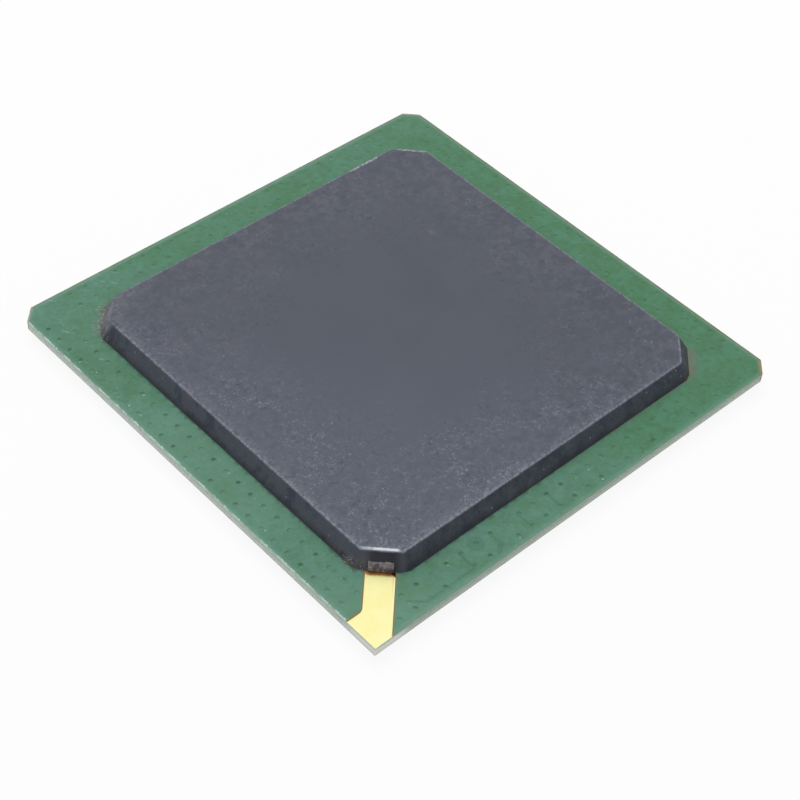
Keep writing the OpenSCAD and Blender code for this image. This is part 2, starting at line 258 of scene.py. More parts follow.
def out_and_along(finish):
    """Places out from the middle to the nearest side, and along that side."""
    ax, ay = abs(finish.x), abs(finish.y)
    return ax.most(ay), ax.least(ay)


def from_edge(finish, half, diagonal):
    """How far a point is inside the edge of a square with cut corners."""
    ax, ay = abs(finish.x), abs(finish.y)
    return (half - ax.most(ay)).least(diagonal - (ax + ay) / ROOT2)


def gate_axes(finish):
    """Places along the diagonal that runs to the gate, and across it to the right corner."""
    return (finish.x + finish.y) / -ROOT2, (finish.x - finish.y) / ROOT2


def off_segment(finish, start, end):
    """Distance from a straight stretch of trace."""
    run_x, run_y = end[0] - start[0], end[1] - start[1]
    past_x, past_y = finish.x - start[0], finish.y - start[1]
    share = ((past_x * run_x + past_y * run_y) / (run_x ** 2 + run_y ** 2)).most(0).least(1)
    return off_centre(past_x - share * run_x, past_y - share * run_y)


def corner_tints(finish, colour):
    """Scorched and handled corners of the board: right, left and back."""
    blur = (finish.noise(1.6, shift=4) - 0.5) * 0.3
    blotch = finish.noise(5.0, detail=3, shift=6).rise(0.35, 0.6) * 0.5 + 0.4
    for x_sign, y_sign, tint, reach in (
        (1, -1, tone(178, 124, 74), 0.16),
        (-1, 1, tone(170, 162, 148), 0.16),
        (1, 1, tone(186, 168, 134), 0.14),
    ):
        past = (finish.x * x_sign + finish.y * y_sign) / ROOT2 + blur
        past = past.rise(BOARD_DIAGONAL - reach, BOARD_DIAGONAL)
        colour = finish.mix(past * blotch, colour, tint)
    return colour


class TopMask(Finish):
    """Green solder mask on the top face, with the places and noises that its steps share."""

    def __init__(self):
        super().__init__("green_mask_top")
        self.along, self.across = gate_axes(self)
        self.cloud = self.noise(0.42, detail=3, stretch=(0.45, 1, 1), turn=math.radians(45))
        self.patch = self.noise(0.95, detail=3, rough=0.55, shift=15)
        self.fine = self.noise(2.4, detail=3, shift=9)
        self.dapple = self.noise(5.5, detail=3, rough=0.6, shift=27)
        self.ragged = self.noise(7.0, detail=3, shift=2)
        # 1 towards the back and right of the board, 0 towards the front and left
        self.far_side = (self.x * 1.1 + self.y * 0.75).rise(-7, 1)

    def green(self):
        """Cloudy green over glass cloth, deeper to the back and right, paler where handled."""
        patch, fine, dapple = self.patch, self.fine, self.dapple
        pale = self.mix(self.cloud.rise(0.36, 0.66), tone(76, 124, 95), tone(87, 134, 117))
        pale = self.mix(patch.rise(0.42, 0.66) * 0.55, pale, tone(92, 139, 119))
        pale = self.mix(fine.rise(0.42, 0.7) * 0.55, pale, tone(78, 121, 84))
        pale = self.mix(dapple.rise(0.5, 0.68) * 0.25, pale, tone(106, 152, 130))
        deep = self.mix(patch.rise(0.42, 0.6), tone(66, 119, 79), tone(69, 126, 93))
        deep = self.mix(fine.rise(0.5, 0.68) * 0.6, deep, tone(58, 104, 68))
        deep = self.mix(dapple.rise(0.52, 0.7) * 0.2, deep, tone(92, 142, 108))
        shade = (self.x * 1.4 + self.y * 0.6).rise(-6, 0) * (1 - self.y.rise(11, 13) * 0.4)
        colour = self.mix(shade * 0.8, pale, deep)
        colour = self.mix(dapple.rise(0.48, 0.3) * 0.2, colour, tone(56, 96, 72))
        by_gate = (self.x + self.y).rise(-22, -26) * 0.45
        by_left = (self.y + 1).line(0, 7) * (self.x < -BOARD_HALF + 3) * 0.26
        return self.mix(by_gate.most(by_left), colour, tone(112, 154, 134))

    def buried_copper(self):
        """Traces and a test pad that show faintly through the mask on the front rim."""
        pad_x, pad_y = abs(self.x - RIM_PAD[0]), abs(self.y - RIM_PAD[1])
        shown = pad_x.most(pad_y).most((pad_x + pad_y) / 1.35).rise(0.5, 0.42)
        for start, end, half in RIM_TRACES:
            shown = shown.most(off_segment(self, start, end).rise(half + 0.05, half - 0.02))
        return shown * (self.patch.rise(0.3, 0.6) * 0.2 + 0.14)

    def via_spots(self):
        """Place in the nearest via's own axes, where vias are, and three chances for each via."""
        out, along = out_and_along(self)
        sideways = abs(self.x) > abs(self.y)
        on_x = (self.x + 0.5).floor() * sideways + (self.x.floor() + 0.5) * (1 - sideways)
        on_y = (self.y + 0.5).floor() * (1 - sideways) + (self.y.floor() + 0.5) * sideways

        # The inner row is a place shorter at each end, and the gate's foot has none under it
        here = (out > VIA_ROW - 0.5) * (along < VIA_ROW)
        here = here * (1 - (out < VIA_ROW + 0.5) * (along > VIA_ROW - 1))
        here = here * (1 - (self.x < self.y) * (self.y < GATE_FOOT_Y + 0.3))

        cell = self.add("ShaderNodeCombineXYZ", {}, {0: on_x, 1: on_y, 2: 0.0})
        chance = self.add(
            "ShaderNodeTexWhiteNoise", {"noise_dimensions": "3D"}, {"Vector": cell}, out="Color"
        )
        chances = [self.add("ShaderNodeSeparateColor", {}, {0: chance}, out=k) for k in range(3)]
        return self.x - on_x, self.y - on_y, here, chances

    def via_marks(self, colour):
        """Adds the marks over the sunken vias, no two alike: painted shade on one side of each
        and in its hollow, painted light on its floor and a painted glint beside some; and tells
        where the mask sinks.
        """
        off_x, off_y, here, (strength, slant, glint) = self.via_spots()
        # The painted via marks fade towards the back and right
        here = here * (1 - self.far_side * 0.6)
        spot = off_centre(off_x, off_y)
        # Painted shade of each via: a dark ring on the side that lean picks, and a dark hollow
        lean = (off_x * (slant * 1.6 - 0.4) + off_y * 0.8).rise(-0.1, 0.13)
        ring = abs(spot - VIA_MARK_R).rise(0.052, 0.01) * lean
        hollow = (spot - self.fine * 0.05).rise(0.09, 0.02) * strength.rise(0.45, 0.8)
        via_shade = ring.most(hollow * 0.85) * here * (strength * 0.75 + 0.2)
        colour = self.mix(via_shade, colour, tone(36, 76, 54))
        # Painted light on the floor of each via mark
        lit_floor = off_centre(off_x + 0.02, off_y + 0.05).rise(0.08, 0.03) * here * strength
        colour = self.mix(lit_floor * 0.35, colour, tone(112, 160, 140))
        # Painted glint beside some of the via marks
        gleam_x, gleam_y = off_x + 0.2 - slant * 0.35, off_y + 0.26 - strength * 0.2
        gleam = (gleam_x * gleam_x + gleam_y * gleam_y * 2.2).root() + self.fine * 0.04
        gleam = gleam.rise(0.08, 0.045) * here * glint.rise(0.8, 0.95)
        return self.mix(gleam * 0.75, colour, tone(202, 228, 214)), spot.rise(0.15, 0.0) * here

    def rims(self, colour):
        """Edge of the mask, with a painted highlight along the near rims, pale at the far rims,
        broken out by the saw, and the board's corners.
        """
        edge = from_edge(self, BOARD_HALF, BOARD_DIAGONAL)
        left_rim = self.x < -BOARD_HALF + 0.5
        front_rim = (self.y < -BOARD_HALF + 0.5) * (1 - left_rim)
        near_rim = left_rim.most(front_rim)
        # Painted highlight along the left and front rims of the mask
        colour = self.mix(edge.rise(0.35, 0.0) * near_rim * 0.3, colour, tone(130, 172, 154))
        back_right = self.x.rise(BOARD_HALF - 1, BOARD_HALF)
        far_tone = self.mix(back_right, tone(126, 160, 138), tone(130, 152, 126))
        far_rim = edge.rise(0.36, 0.0) * (1 - near_rim) * (self.ragged * 0.5 + 0.45)
        colour = self.mix(far_rim, colour, far_tone)
        sawn = (edge - (self.ragged - 0.42) * 0.18).rise(0.11 - near_rim * 0.055, 0.01)
        sawn = sawn * (self.noise(1.8, detail=3, shift=19).rise(0.4, 0.6) * 0.55 + 0.25)
        sawn_tone = self.mix(left_rim, tone(86, 80, 54), tone(214, 236, 226))
        sawn_tone = self.mix(front_rim, sawn_tone, tone(120, 138, 122))
        colour = self.mix(sawn * (left_rim * 0.1 + 0.9), colour, sawn_tone)
        return corner_tints(self, colour)

    def resin(self, colour):
        """Thin resin left on the mask round the foot of the cap, and a dark band along its front.
        """
        fine, ragged = self.fine, self.ragged
        off_corner = abs(self.x + self.y)

        # Drawn out beside the right corner
        beyond = self.across - CAP_FOOT_DIAGONAL
        smear = beyond.rise(0.75, 0.1) * (off_corner - ragged * 0.8).rise(1.3, 0.7)
        colour = self.mix(smear * 0.6 * (beyond > 0), colour, tone(120, 112, 102))

        # Grainy flash outside the left corner
        outside = self.across * -1 - CAP_FOOT_DIAGONAL
        flash = (outside - ragged * 0.9).rise(0.1, -0.3) * (off_corner - ragged).rise(1.5, 0.5)
        flash_tone = self.mix(ragged.rise(0.45, 0.6), tone(94, 96, 90), tone(152, 150, 144))
        colour = self.mix(flash * (outside > -0.5) * 0.6, colour, flash_tone)

        # A dark, ragged band along the front of the foot, and pale fuzz along the foot
        foot_gap = from_edge(self, CAP_FOOT_HALF, CAP_FOOT_DIAGONAL) * -1
        dark_foot_band = (foot_gap - (fine - 0.45) * 0.6).rise(0.14, -0.06)
        dark_foot_band = dark_foot_band * (self.x * 1.4 + self.y).rise(2, -12)
        colour = self.mix(dark_foot_band * 0.6, colour, tone(50, 66, 58))
        fuzz = (foot_gap - (ragged - 0.4) * 0.6).rise(0.16, 0.02) * fine.rise(0.4, 0.54)
        return self.mix(fuzz * self.x.rise(-2, 6) * 0.65, colour, tone(104, 112, 98))

    def gold_glow(self):
        """Where the gold shows brown through the thin mask beside the gate."""
        beside = abs(self.across).rise(GATE_HALF + 0.085, GATE_HALF + 0.03)
        beside = beside * (self.along > CAP_FOOT_DIAGONAL - 0.3)
        foot = (self.y - GATE_FOOT_Y).rise(0.09, 0.04) * (self.x < self.y)
        return beside.most(foot)

    def wear(self, colour):
        """Nicks near the left corner, dust and pale crumbs."""
        nicks = self.noise(2.6, detail=2, shift=71, stretch=(0.35, 2.6, 1), turn=0.9)
        nicks = nicks.rise(0.67, 0.74) * self.dapple.rise(0.4, 0.55)
        nicks = nicks * (self.y - self.x).rise(17, 22)
        colour = self.mix(nicks * 0.55, colour, tone(158, 192, 176))
        dust = self.specks(2.2, 0.09, 0.05, shift=3)
        colour = self.mix(dust * 0.6, colour, tone(196, 218, 206))
        crumbs = self.specks(4.0, 0.14, 0.08, shift=14) * self.patch.rise(0.4, 0.6)
        # Fewer crumbs towards the back and right
        crumbs = crumbs * (1 - self.far_side)
        return self.mix(crumbs * 0.55, colour, tone(184, 210, 196))


def solder_mask_top():
    f = TopMask()
    copper_below = f.buried_copper()
    colour = f.mix(copper_below, f.green(), tone(52, 96, 70))
    colour, sunken = f.via_marks(colour)
    colour = f.resin(f.rims(colour))
    colour = f.wear(f.mix(f.gold_glow(), colour, tone(142, 112, 62)))
    return f.finished(
        f.cloud * 0.01 + f.fine * 0.006 - sunken * 0.012 + copper_below * 0.02,
        Base_Color=colour, Roughness=0.34 + f.ragged * 0.18, Specular_IOR_Level=0.4,
    )


def solder_mask_bottom():
    f = Finish("green_mask_bottom")
    out, along = out_and_along(f)
    cloud = f.noise(0.5, detail=3)
    fine = f.noise(1.9, detail=3, shift=9)
    colour = f.mix(cloud.rise(0.35, 0.65), tone(70, 120, 90), tone(84, 134, 110))

    # Copper under the mask: pads, the lands of the vias, the necks between them and the middle
    rows = (out > BALLS_FROM) * (out < BALLS_TO) * (along < BALLS_TO)
    pad = off_centre(f.x.fraction() - 0.5, f.y.fraction() - 0.5)
    pad = pad.rise(PAD_R + 0.03, PAD_R - 0.01) * rows
    off_row = out - (out + 0.5).floor()
    off_place = along.fraction() - 0.5
    land = off_centre(off_row, off_place).rise(LAND_R + 0.03, LAND_R - 0.01)
    land = land * (out > BALLS_FROM + 0.5) * (out < BALLS_TO + 0.5) * (along < BALLS_TO - 1)
    neck = abs(off_place).rise(0.09, 0.06) * rows * (out.fraction() > 0.5)
    thermal = out.rise(THERMAL_HALF + 0.03, THERMAL_HALF - 0.02)
    copper_below = pad.most(land).most(neck).most(thermal)
    colour = f.mix(copper_below * 0.55, colour, tone(104, 158, 112))

    ragged = f.noise(3.0, detail=3, shift=2)
    sawn = from_edge(f, BOARD_HALF, BOARD_DIAGONAL).rise(0.12, 0.02) * ragged.rise(0.2, 0.5)
    colour = corner_tints(f, f.mix(sawn, colour, tone(160, 196, 176)))
    return f.finished(
        cloud * 0.006 + fine * 0.003 + copper_below * 0.014,
        Base_Color=colour, Roughness=0.34 + ragged * 0.16, Specular_IOR_Level=0.4,
    )


def laminate():
    f = Finish("glass_cloth_laminate")
    depth = (f.z - LAMINATE_LOW) / (LAMINATE_HIGH - LAMINATE_LOW)
    weave = f.noise(2.4, detail=4, stretch=(1, 1, 9))
    strands = f.noise(7.0, detail=2, stretch=(1, 1, 4), shift=5)
    chips = f.noise(7.0, detail=3, shift=2)
    plies = (depth * 2).fraction().rise(0.0, 0.35) * 0.5

    # Pale resin and glass, paler towards the bottom, with painted light making the left side
    # palest
    left = f.x.rise(-BOARD_HALF + 0.3, -BOARD_HALF + 0.05)
    upper = f.mix(left, tone(134, 164, 146), tone(170, 200, 186))
    lower = f.mix(left, tone(200, 210, 200), tone(234, 240, 234))
    colour = f.mix(depth.rise(0.95, 0.2), upper, lower)
    colour = f.mix(weave.rise(0.3, 0.7) * 0.5, colour, tone(150, 160, 146))
    colour = f.mix(strands.rise(0.5, 0.75) * 0.6, colour, tone(228, 232, 224))
    colour = f.mix(plies * 0.5, colour, tone(204, 209, 201))

    # White gate corner, chips along the top and browner back sides
    along, _ = gate_axes(f)
    tip = along.rise(BOARD_DIAGONAL - 1.2, BOARD_DIAGONAL - 0.4)
    colour = f.mix(tip * depth.rise(1.0, 0.6), colour, tone(244, 244, 236))
    chipped = (depth + chips * 0.9).rise(1.18, 1.34) * (left * 0.4 + 0.2)
    colour = f.mix(chipped, colour, tone(214, 232, 222))
    back = f.x.most(f.y).rise(BOARD_HALF - 0.6, BOARD_HALF - 0.1)
    colour = corner_tints(f, f.mix(back * 0.5, colour, tone(122, 112, 84)))
    return f.finished(
        weave * 0.03 + strands * 0.015,
        Base_Color=colour, Roughness=0.7 + weave * 0.2, Specular_IOR_Level=0.3,
    )


class MouldCompound(Finish):
    """Black compound of the cap, with the places and noises that its steps share."""

    def __init__(self):
        super().__init__("mould_compound")
        self.along, self.across = gate_axes(self)
        self.to_left = self.across * -1
        self.up = (self.z - BOARD_TOP) / (CAP_TOP - BOARD_TOP)
        self.inside = from_edge(self, CAP_TOP_HALF, CAP_TOP_DIAGONAL)
        self.on_top = self.z.rise(CAP_TOP - 0.06, CAP_TOP - 0.015)
        self.front = (self.x + self.y).rise(6, -18)
        self.broad = self.noise(0.35, detail=2)
        self.hue = self.noise(0.8, detail=3, shift=21)
        self.grain = self.noise(5.5, detail=3, rough=0.6, shift=7)
        self.mottle = self.noise(2.2, detail=3, shift=51)
        self.rub_noise = self.noise(4.2, detail=4, rough=0.65, shift=3)
        self.rub = self.rub_noise.rise(0.42, 0.6)
        patchy = self.noise(0.45, detail=3, shift=41).rise(0.36, 0.6) * 0.65 + 0.35
        self.dusty = off_centre(self.x, self.y).rise(4.0, 8.5) * patchy
        self.gate_face = self.face(self.along, 0.16, 0.03)
        self.left_face = self.face(self.to_left, 0.3, 0.04)

    def face(self, out, soft, full):
        """1 on the leaning face that stands furthest out that way."""
        out = out + self.up * CAP_LEAN
        return out.rise(CAP_FOOT_DIAGONAL - soft, CAP_FOOT_DIAGONAL - full)

    def top(self):
        """Matt top with fine filler grains, plain in the middle."""
        dusty, front, mottle = self.dusty, self.front, self.mottle
        colour = self.mix(self.broad.rise(0.3, 0.7), tone(88, 92, 102), tone(91, 95, 105))
        colour = self.mix(self.hue.rise(0.4, 0.7) * dusty * 0.5, colour, tone(94, 94, 104))
        colour = self.mix(front * 0.6, colour, tone(100, 106, 118))
        right = self.across.rise(1, 13) * (0.45 - front * 0.2)
        colour = self.mix(right, colour, tone(84, 88, 98))
        loose = abs(self.x).most(abs(self.y)).rise(5, 11.5)
        colour = self.mix(mottle.rise(0.44, 0.62) * loose * 0.4, colour, tone(106, 106, 117))
        colour = self.mix(mottle.rise(0.44, 0.3) * loose * 0.4, colour, tone(82, 84, 95))
        salt = self.noise(11.0, detail=2, rough=0.7, shift=5)
        grit = (self.grain * 0.5 + salt * 0.5).rise(0.5, 0.64) * dusty * (front * 0.65 + 0.35)
        grit = grit * (self.inside.rise(6.5, 1.0) * 0.55 + 0.45)
        grit = grit * (mottle.rise(0.36, 0.6) * 0.8 + 0.35)
        colour = self.mix(grit.least(1) * 0.95, colour, tone(134, 139, 151))
        pits = self.noise(3.6, detail=2, shift=11).rise(0.56, 0.72) * dusty
        colour = self.mix(pits * 0.5, colour, tone(73, 77, 87))
        lint = self.noise(1.5, detail=1, shift=31, stretch=(0.5, 3.5, 1), turn=0.6)
        lint = lint.rise(0.72, 0.78) * dusty * self.grain.rise(0.45, 0.6)
        return self.mix(lint * 0.35, colour, tone(140, 145, 156))

    def sides(self):
        """Leaning sides in painted shade, darker than the top and darker still towards the board,
        with a face of its own at three corners.
        """
        cast = self.noise(1.1, detail=4, rough=0.6, shift=61)
        # Painted shade: the sides take darker colours than the top
        colour = self.mix(self.grain.rise(0.35, 0.7) * 0.7, tone(64, 69, 78), tone(78, 84, 94))
        # Painted light: the left side lighter than the other sides
        left_side = self.x.rise(-CAP_TOP_HALF + 1, -CAP_TOP_HALF)
        colour = self.mix(left_side * 0.45, colour, tone(90, 96, 106))
        colour = self.mix(cast.rise(0.5, 0.36) * 0.55, colour, tone(46, 54, 66))
        colour = self.mix(cast.rise(0.54, 0.68) * 0.4, colour, tone(88, 92, 100))
        # Painted shade, deepest towards the board
        low = (self.up + cast * 0.5).rise(0.72, 0.24)
        colour = self.mix(low * 0.7, colour, tone(46, 47, 53))
        # Painted shade on the gate's face, darkest in its middle
        gate_face_shade = abs(self.across - 0.1).rise(1.0, 0.45)
        gate_face_shade = self.mix(gate_face_shade, tone(82, 84, 94), tone(49, 49, 57))
        colour = self.mix(self.gate_face * 0.8, colour, gate_face_shade)
        ashen = (self.hue * 0.5 + self.rub_noise * 0.5).rise(0.4, 0.6)
        ashen = self.mix(ashen, tone(98, 99, 108), tone(130, 131, 140))
        colour = self.mix(self.left_face, colour, ashen)
        warm = self.face(self.across, 0.4, 0.1) * (self.up + cast * 0.6).rise(0.9, 0.3)
        return self.mix(warm * 0.6, colour, tone(84, 70, 64))

    def pale_grains(self):
        """Pale filler grains, more of them near the right corner."""
        grains = self.specks(3.2, 0.2, 0.12, shift=1) * self.dusty * (self.front * 0.6 + 0.4)
        by_right = self.across.rise(CAP_TOP_DIAGONAL - 4, CAP_TOP_DIAGONAL - 1)
        by_right = by_right * self.mottle.rise(0.4, 0.55) * 1.4
        return grains.most(self.specks(4.2, 0.26, 0.2, shift=23) * by_right)

    def edges(self, colour):
        """Worn left corner, rubbed upper edges in a painted highlight, a bright painted highlight
        along the gate corner, and painted highlights on the back edges.
        """
        rub, on_top = self.rub, self.on_top
        handled = self.to_left.rise(CAP_TOP_DIAGONAL - 2.6, CAP_TOP_DIAGONAL - 0.8)
        handled = handled * self.inside.rise(1.3, 0.1) * self.rub_noise.rise(0.4, 0.62) * on_top
        colour = self.mix(handled * 0.5, colour, tone(124, 126, 136))

        # Rubbed wear and a painted highlight in a thin line along the upper edges
        edge_wear_and_highlight = abs(self.inside - 0.03).rise(0.1, 0.02) * (rub * 0.75 + 0.25)
        edge_wear_and_highlight = edge_wear_and_highlight * self.to_left.rise(CAP_TOP_DIAGONAL - 0.1, CAP_TOP_DIAGONAL - 0.7)
        edge_wear_and_highlight = edge_wear_and_highlight * (self.along.rise(6, 15) * 0.3 + 0.65)
        edge_wear_and_highlight = edge_wear_and_highlight * self.z.rise(CAP_TOP - 0.1, CAP_TOP - 0.05)
        colour = self.mix(edge_wear_and_highlight, colour, tone(146, 150, 161))
        worn = self.inside.rise(0.7, 0.0) * (self.inside > 0) * rub * self.front
        colour = self.mix(worn * 0.55 * on_top, colour, tone(136, 140, 152))

        # Painted highlight along the top edge at the gate corner
        gate_edge_highlight = (self.along - CAP_TOP_DIAGONAL + self.rub_noise * 0.06).line(-0.07, 0.11)
        gate_edge_highlight = gate_edge_highlight * abs(self.across + 0.1).rise(1.05, 0.8) * on_top
        gate_edge_highlight = gate_edge_highlight * (self.across.rise(-0.8, -0.45) * 0.6 + 0.4)
        gate_edge_highlight = gate_edge_highlight * self.noise(2.2, shift=8).rise(0.2, 0.5)
        colour = self.mix(gate_edge_highlight, colour, tone(222, 224, 232))

        # Painted highlights along the back edges of the top
        back = (self.along + CAP_TOP_DIAGONAL).line(0.07, 0.13)
        back = back * abs(self.across - 0.25).rise(1.0, 0.7)
        back_side = (CAP_TOP_HALF - self.y).line(0.07, 0.13) * abs(self.x - 7.9).rise(1.4, 0.8)
        back_edge_highlight = back.most(back_side) * (rub * 0.7 + 0.2) * on_top
        return self.mix(back_edge_highlight, colour, tone(176, 178, 184))

    def foot(self, colour):
        """Left corner and the skirt beside the gate, grainy and brownish at the foot."""
        skirt = self.along.rise(CAP_FOOT_DIAGONAL - 1.5, CAP_FOOT_DIAGONAL - 0.3)
        skirt = skirt * (self.across < -0.6) * self.up.rise(0.8, 0.3)
        crust = (self.left_face * self.up.rise(0.7, 0.2)).most(skirt * 0.7) * self.rub
        colour = self.mix(crust * 0.6, colour, tone(118, 109, 106))
        left_side = self.x.rise(-CAP_TOP_HALF + 0.3, -CAP_TOP_HALF) * self.y.rise(-4, 6)
        beside_stub = self.gate_face * self.across.rise(-0.2, -0.7)
        grainy = self.left_face.most(skirt).most(beside_stub).most(left_side * 0.7)
        crystals = self.specks(4.5, 0.22, 0.14, shift=12) * grainy
        return self.mix(crystals * 0.9, colour, tone(176, 174, 174))

    def stub(self):
        """1 on the stub of the broken runner."""
        proud = self.along + self.up * CAP_LEAN > CAP_FOOT_DIAGONAL + 0.015
        return proud * (abs(self.across) < STUB_HALF + 0.01) * (self.z < STUB_TOP + 0.02)

    def broken(self, crumbs):
        """Crumbly break, paler at its lip and scorched at its foot."""
        colour = self.mix(crumbs.rise(0.38, 0.66), tone(76, 71, 75), tone(142, 136, 136))
        lip = (self.z + crumbs * 0.05).rise(STUB_TOP - 0.04, STUB_TOP)
        colour = self.mix(lip * 0.6, colour, tone(160, 152, 148))
        return self.mix(self.up.rise(0.1, 0.0) * 0.6, colour, tone(92, 48, 34))


def mould_compound():
    f = MouldCompound()
    colour = f.mix(f.on_top, f.sides(), f.top())
    colour = f.mix(f.pale_grains() * 0.55, colour, tone(166, 170, 180))
    colour = f.foot(f.edges(colour))
    stub = f.stub()
    crumbs = f.noise(4.0, detail=3, rough=0.6, shift=6)
    colour = f.mix(stub, colour, f.broken(crumbs))
    return f.finished(
        f.grain * 0.006 * (f.dusty * 0.8 + 0.2) + f.broad * 0.004 + stub * crumbs * 0.07,
        Base_Color=colour, Roughness=0.62 + f.grain * 0.2, Specular_IOR_Level=0.22,
    )


def gate_gold():
    f = Finish("gate_gold")
    along, across = gate_axes(f)
    past_cap = along - CAP_FOOT_DIAGONAL
    cloud = f.noise(0.9, detail=3)
    fine = f.noise(8.1, detail=2, shift=5)
    colour = f.mix(cloud.rise(0.35, 0.7), tone(255, 251, 186), tone(254, 246, 174))
    scorched = (past_cap - fine * 0.3).rise(0.14, -0.04)
    colour = f.mix(scorched * 0.85, colour, tone(238, 150, 70))
    # Painted highlight along the gold's edges near the cap
    gold_edge_highlight = across.line(GATE_HALF - 0.045, 0.035) * past_cap.rise(2.6, 2.2)
    colour = f.mix(gold_edge_highlight * 0.8, colour, tone(255, 252, 226))
    groove = across.line(GATE_HALF - 0.1, 0.03) * past_cap.rise(1.9, 0.2)
    colour = f.mix(groove * 0.6, colour, tone(206, 176, 92))
    resin = (past_cap - (across - GATE_HALF + 0.3)).rise(0.03, -0.04) * (across > 0)
    colour = f.mix(resin, colour, tone(70, 52, 48))
    return f.finished(
        fine * 0.002, Base_Color=colour, Metallic=1.0, Roughness=0.28 + fine * 0.14,
    )


def metal(name, light, via_shade, scale, rough):
    f = Finish(name)
    cloud = f.noise(scale, detail=3)
    fine = f.noise(scale * 5, detail=2, shift=3)
    colour = f.mix(cloud.rise(0.3, 0.7), light, via_shade)
    return f.finished(
        fine * 0.004, Base_Color=colour, Metallic=1.0, Roughness=rough + fine * 0.15,
    )


def dull(name, light, via_shade, scale, rough):
    f = Finish(name)
    cloud = f.noise(scale, detail=4)
    fine = f.noise(scale * 6, detail=2, shift=3)
    colour = f.mix(cloud.rise(0.3, 0.7), light, via_shade)
    return f.finished(fine * 0.003, Base_Color=colour, Roughness=rough + fine * 0.2)


def torn_resin():
    f = Finish("torn_resin")
    crumbs = f.noise(4.0, detail=3, rough=0.6, shift=6)
    fine = f.noise(14.0, detail=2, shift=2)
    colour = f.mix(crumbs.rise(0.36, 0.64), tone(68, 63, 66), tone(128, 121, 122))
    colour = f.mix(fine.rise(0.52, 0.7) * 0.4, colour, tone(150, 145, 144))
    colour = f.mix(f.z.rise(STUB_TOP - 0.05, STUB_TOP - 0.01) * 0.5, colour, tone(150, 145, 146))
    colour = f.mix(f.z.rise(GOLD_TOP + 0.1, GOLD_TOP) * 0.7, colour, tone(92, 50, 36))
    return f.finished(
        fine * 0.01,
        Base_Color=colour, Roughness=0.6 + crumbs * 0.25, Specular_IOR_Level=0.3,
    )


def resin_grit():
    f = Finish("resin_grit")
    lumps = f.noise(9.0, detail=2)
    colour = f.mix(lumps.rise(0.4, 0.6), tone(100, 96, 95), tone(182, 178, 174))
    return f.finished(
        lumps * 0.01,
        Base_Color=colour, Roughness=0.6 + lumps * 0.3, Specular_IOR_Level=0.3,
    )


copper = metal("copper", tone(226, 150, 110), tone(190, 112, 78), 3.0, 0.3)
lead_gold = metal("lead_gold", tone(250, 222, 140), tone(236, 200, 116), 4.0, 0.22)
FINISHES = {
    "laminate": laminate(),
    "solder_mask_top": solder_mask_top(),
    "solder_mask_bottom": solder_mask_bottom(),
    "mould_cap": mould_compound(),
    "mould_gate": gate_gold(),
    "balls": metal("solder", tone(206, 208, 212), tone(178, 181, 188), 5.0, 0.26),
    "die": dull("silicon", tone(84, 88, 96), tone(70, 73, 82), 2.0, 0.2),
    "die_attach": dull("die_adhesive", tone(188, 186, 180), tone(160, 158, 152), 6.0, 0.5),
}


def finish_of(name):
    """The finish that a node of the frame takes."""
    if name in FINISHES:
        return FINISHES[name]
    if name.endswith("_balls"):
        return FINISHES["balls"]
    plated = ("wires", "traces", "die_paddle", "ring")
    return lead_gold if any(word in name for word in plated) else copper


for name, node in nodes.items():
    node.data.materials.clear()
    node.data.materials.append(finish_of(name))


# ---------- broken resin ----------

def gate_point(along, across, height):
    """A point in metres from its place along and across the gate's diagonal."""
    return Vector(((across - along) / ROOT2, (-across - along) / ROOT2, height)) * MM


def add_piece(name, mesh, finish, smooth=False):
    """Puts a finished mesh on the package."""
    mesh.materials.clear()
    mesh.materials.append(finish)
    mesh.polygons.foreach_set("use_smooth", [smooth] * len(mesh.polygons))
    piece = bpy.data.objects.new(name, mesh)
    bpy.context.scene.collection.objects.link(piece)
    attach(piece, "root")


def stub_profile(share):
    """Place along and height on the stub's outside, from the gold up over its lip to the cap."""
    face = CAP_FOOT_DIAGONAL + STUB_PROUD
    meets_cap = CAP_FOOT_DIAGONAL - STUB_HEIGHT * CAP_SLOPE
    above = 0.02
    corners = [
        (face, GOLD_TOP), (face, STUB_LIP), (meets_cap, STUB_TOP),
        (meets_cap - above * CAP_SLOPE, STUB_TOP + above),
    ]
    lengths = [math.dist(a, b) for a, b in zip(corners, corners[1:])]
    to_go = share * sum(lengths)
    for (a, b), length in zip(zip(corners, corners[1:]), lengths):
        if to_go <= length or b is corners[-1]:
            part = min(to_go / length, 1.0)
            return a[0] + (b[0] - a[0]) * part, a[1] + (b[1] - a[1]) * part
        to_go -= length


